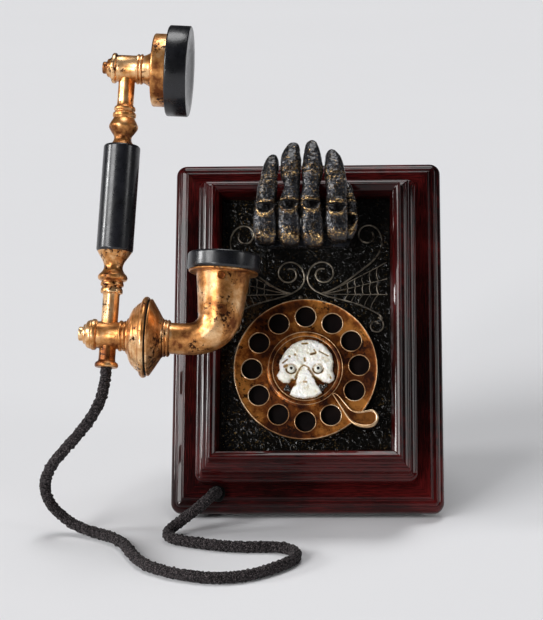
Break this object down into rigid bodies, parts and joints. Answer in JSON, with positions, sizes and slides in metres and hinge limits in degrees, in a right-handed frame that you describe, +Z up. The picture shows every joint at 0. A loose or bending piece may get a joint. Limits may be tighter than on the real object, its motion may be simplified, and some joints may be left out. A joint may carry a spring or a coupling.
{
  "type": "rotary telephone",
  "caption": "Sloping wooden desk telephone with a rotary dial, skull medallion, skeleton-hand cradle and corded candlestick-style handset.",
  "frame": {"origin": "middle of the rest face, on the underside of the rubber pad", "axes": "+X to the right seen from the front, the dial faces -Y, +Z up"},
  "size_m": [0.2594, 0.2323, 0.315],
  "materials": {
    "dark_cherry_wood": "high-gloss dark cherry lacquer on moulded wood",
    "black_hammered_plate": "black hammered enamel with gold flecks",
    "gunmetal_bone": "gunmetal paint with gold dry-brushed knuckles",
    "antique_copper": "antique copper with dark patina and bright edges",
    "antique_brass": "antique gold-copper with dark flecks",
    "ivory_bone": "ivory resin with brown wash in the hollows",
    "eye_glass": "clear glass eye",
    "steel": "plain steel",
    "black_plastic": "black moulded plastic",
    "black_case": "very dark brown-black painted case",
    "black_rubber": "matt black rubber",
    "black_ebonite": "satin black ebonite",
    "circuit_green": "green circuit board",
    "cell_jacket": "plain grey cell jacket",
    "black_braid": "matt black braided cord"
  },
  "bodies": {
    "root": {"base_board": "dark_cherry_wood", "raised_moulding": "dark_cherry_wood", "crest_moulding": "dark_cherry_wood", "face_plate": "black_hammered_plate", "finger_stop": "antique_copper", "stop_screw": "steel", "hook_switch": "black_plastic", "hand_palm": "gunmetal_bone", "little_finger": "gunmetal_bone", "ring_finger": "gunmetal_bone", "middle_finger": "gunmetal_bone", "index_finger": "gunmetal_bone", "thumb": "gunmetal_bone", "dial_backing": "black_case", "dial_bush": "steel", "dial_frame": "steel", "return_spring": "steel", "pulse_contacts": "steel", "rear_housing": "black_case", "bottom_cover": "black_case", "battery_door": "black_case", "battery_tray": "black_plastic", "batteries": "cell_jacket", "base_pad": "black_rubber", "cover_screws": "steel", "speaker": "black_plastic", "circuit_board": "circuit_green", "power_switch_body": "black_plastic", "cord_grommet": "black_rubber", "handset_cord": "black_braid"},
    "dial": {"dial_wheel": "antique_copper", "dial_hub": "antique_copper", "skull_medallion": "ivory_bone", "skull_eyes": "eye_glass", "dial_spindle": "steel", "pulse_cam": "black_plastic"},
    "handset": {"receiver_cap": "black_ebonite", "receiver_capsule": "black_plastic", "receiver_cup": "antique_brass", "upper_barrel": "antique_brass", "upper_finial": "antique_brass", "upper_neck": "antique_brass", "grip": "black_ebonite", "core_rod": "steel", "lower_neck": "antique_brass", "lower_barrel": "antique_brass", "lower_finial": "antique_brass", "transmitter_bell": "antique_brass", "transmitter_gasket": "black_rubber", "transmitter_cone": "antique_brass", "horn_collar": "antique_brass", "horn_elbow": "antique_brass", "microphone_capsule": "black_plastic", "mouth_flange": "antique_brass", "mouthpiece_cap": "black_ebonite", "horn_screw": "antique_brass", "cord_ferrule": "antique_brass"},
    "hook_button": {"hook_plunger": "steel"},
    "power_knob": {"power_switch_knob": "black_plastic"}
  },
  "joints": [
    {"name": "dial_turn", "type": "hinge", "parent": "root", "child": "dial", "pos_m": [0, -0.05135, 0.09978], "axis": [0, 0.866, -0.5], "range_deg": [0, 325], "stiffness_Nm_per_rad": 0.003, "springref_deg": -28.65},
    {"name": "hook_press", "type": "slide", "parent": "root", "child": "hook_button", "axis": [0, 0.866, -0.5], "range_m": [0, 0.003], "stiffness_N_per_m": 120, "springref_m": -0.002},
    {"name": "power_slide", "type": "slide", "parent": "root", "child": "power_knob", "axis": [1, 0, 0], "range_m": [0, 0.006]},
    {"name": "handset_lift", "type": "slide", "parent": "root", "child": "handset", "axis": [0, 0, 1], "range_m": [0, 0.1]}
  ]
}
